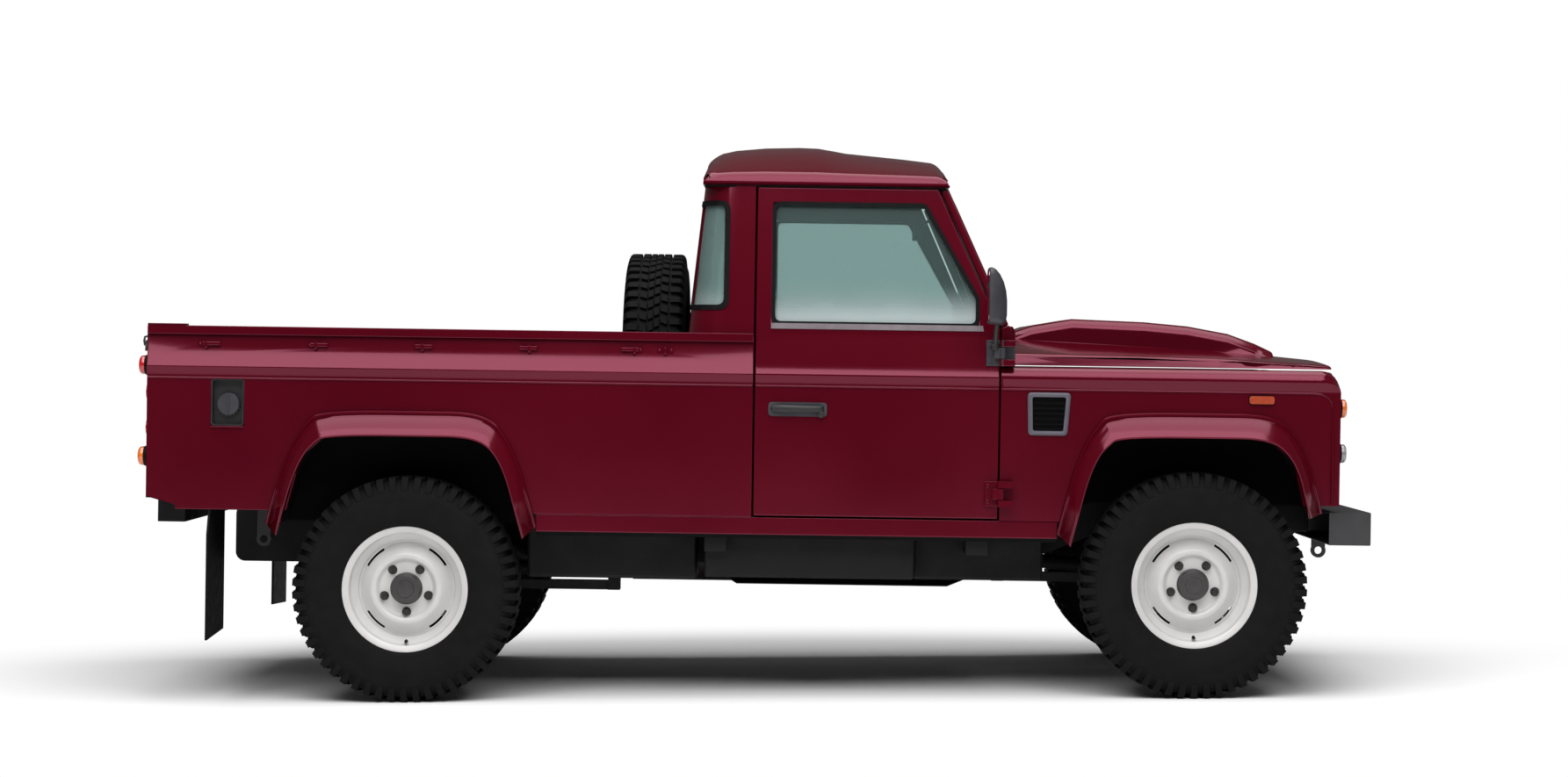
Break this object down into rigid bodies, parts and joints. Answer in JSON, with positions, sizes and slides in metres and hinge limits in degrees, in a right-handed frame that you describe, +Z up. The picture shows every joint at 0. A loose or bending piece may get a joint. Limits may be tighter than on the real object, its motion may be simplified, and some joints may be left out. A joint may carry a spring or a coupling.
{
  "type": "two-door utility pickup truck",
  "caption": "Two-door utility pickup truck with open load bed, upright spare wheel, opening doors, bonnet and tailgate, and steered front wheels.",
  "frame": {"origin": "on the ground under the middle of the overall length and width", "axes": "+X forward, +Y to the vehicle's left, +Z up"},
  "size_m": [4.4017, 2.05, 2.0078],
  "materials": {
    "body_paint": "gloss claret paint",
    "wheel_paint": "white enamel",
    "chassis_black": "satin black",
    "bumper_grey": "dark grey satin",
    "tyre_rubber": "matt",
    "flap_rubber": "matt",
    "cast_metal": "rough black",
    "bright_steel": "zinc plated",
    "black_plastic": "grained",
    "grey_plastic": "grained",
    "clear_glass": "lightly tinted",
    "lamp_glass": "clear lens",
    "red_lens": "moulded lens",
    "seat_cloth": "woven"
  },
  "bodies": {
    "chassis": {"chassis_frame": "chassis_black", "front_bumper": "bumper_grey", "lashing_eyes": "bright_steel", "front_axle": "cast_metal", "rear_axle": "cast_metal", "suspension": "chassis_black", "drivetrain": "cast_metal", "fuel_tank": "chassis_black", "exhaust": "bright_steel", "cab_floor": "body_paint", "bulkhead": "body_paint", "windscreen_frame": "body_paint", "cab_glass": "clear_glass", "front_wings": "body_paint", "arch_flares": "body_paint", "front_panel": "body_paint", "grille": "black_plastic", "front_lamps": "lamp_glass", "rear_lamps": "red_lens", "sills": "body_paint", "load_bed": "body_paint", "tub_sides": "body_paint", "cab_roof": "body_paint", "cab_back": "body_paint", "seats": "seat_cloth", "fascia": "black_plastic", "mud_flaps": "flap_rubber", "spare_wheel": "wheel_paint", "spare_tyre": "tyre_rubber", "wing_vents": "grey_plastic", "fuel_filler": "black_plastic"},
    "bonnet": {"bonnet": "body_paint"},
    "tailgate": {"tailgate": "body_paint"},
    "steering_wheel": {"steering_wheel": "black_plastic"},
    "knuckle_left": {"knuckle_left": "cast_metal"},
    "knuckle_right": {"knuckle_right": "cast_metal"},
    "door_left": {"door_left": "body_paint", "door_glass_left": "clear_glass", "door_fittings_left": "grey_plastic"},
    "door_right": {"door_right": "body_paint", "door_glass_right": "clear_glass", "door_fittings_right": "grey_plastic"},
    "wheel_front_left": {"wheel_front_left": "wheel_paint", "tyre_front_left": "tyre_rubber"},
    "wheel_front_right": {"wheel_front_right": "wheel_paint", "tyre_front_right": "tyre_rubber"},
    "wheel_rear_left": {"wheel_rear_left": "wheel_paint", "tyre_rear_left": "tyre_rubber"},
    "wheel_rear_right": {"wheel_rear_right": "wheel_paint", "tyre_rear_right": "tyre_rubber"}
  },
  "joints": [
    {"name": "steer_left", "type": "hinge", "parent": "chassis", "child": "knuckle_left", "pos_m": [1.56565, 0.63, 0.4], "axis": [0, 0, 1], "range_deg": [-32, 32]},
    {"name": "steer_right", "type": "hinge", "parent": "chassis", "child": "knuckle_right", "pos_m": [1.56565, -0.63, 0.4], "axis": [0, 0, 1], "range_deg": [-33, 33]},
    {"name": "steering_wheel_turn", "type": "hinge", "parent": "chassis", "child": "steering_wheel", "pos_m": [0.50243, -0.4, 1.19363], "axis": [-0.776, 0, 0.6307], "range_deg": [-580, 580]},
    {"name": "spin_front_left", "type": "hinge", "parent": "knuckle_left", "child": "wheel_front_left", "pos_m": [1.56565, 0.743, 0.4], "axis": [0, 1, 0], "continuous": true},
    {"name": "spin_front_right", "type": "hinge", "parent": "knuckle_right", "child": "wheel_front_right", "pos_m": [1.56565, -0.743, 0.4], "axis": [0, 1, 0], "continuous": true},
    {"name": "spin_rear_left", "type": "hinge", "parent": "chassis", "child": "wheel_rear_left", "pos_m": [-1.22835, 0.743, 0.4], "axis": [0, 1, 0], "continuous": true},
    {"name": "spin_rear_right", "type": "hinge", "parent": "chassis", "child": "wheel_rear_right", "pos_m": [-1.22835, -0.743, 0.4], "axis": [0, 1, 0], "continuous": true},
    {"name": "door_left_swing", "type": "hinge", "parent": "chassis", "child": "door_left", "pos_m": [0.87957, 0.864, 0.7283], "axis": [-0.0192, 0, -0.9998], "range_deg": [0, 70]},
    {"name": "door_right_swing", "type": "hinge", "parent": "chassis", "child": "door_right", "pos_m": [0.87957, -0.864, 0.7283], "axis": [0.0192, 0, 0.9998], "range_deg": [0, 70]},
    {"name": "bonnet_lift", "type": "hinge", "parent": "chassis", "child": "bonnet", "pos_m": [0.94685, 0, 1.31512], "axis": [0, -1, 0], "range_deg": [0, 65]},
    {"name": "tailgate_drop", "type": "hinge", "parent": "chassis", "child": "tailgate", "pos_m": [-2.14315, 0, 0.82435], "axis": [0, -1, 0], "range_deg": [0, 90]}
  ],
  "couplings": [
    {"joint": "steer_right", "follows": "steer_left", "ratio": 1},
    {"joint": "steering_wheel_turn", "follows": "steer_left", "ratio": 18}
  ]
}
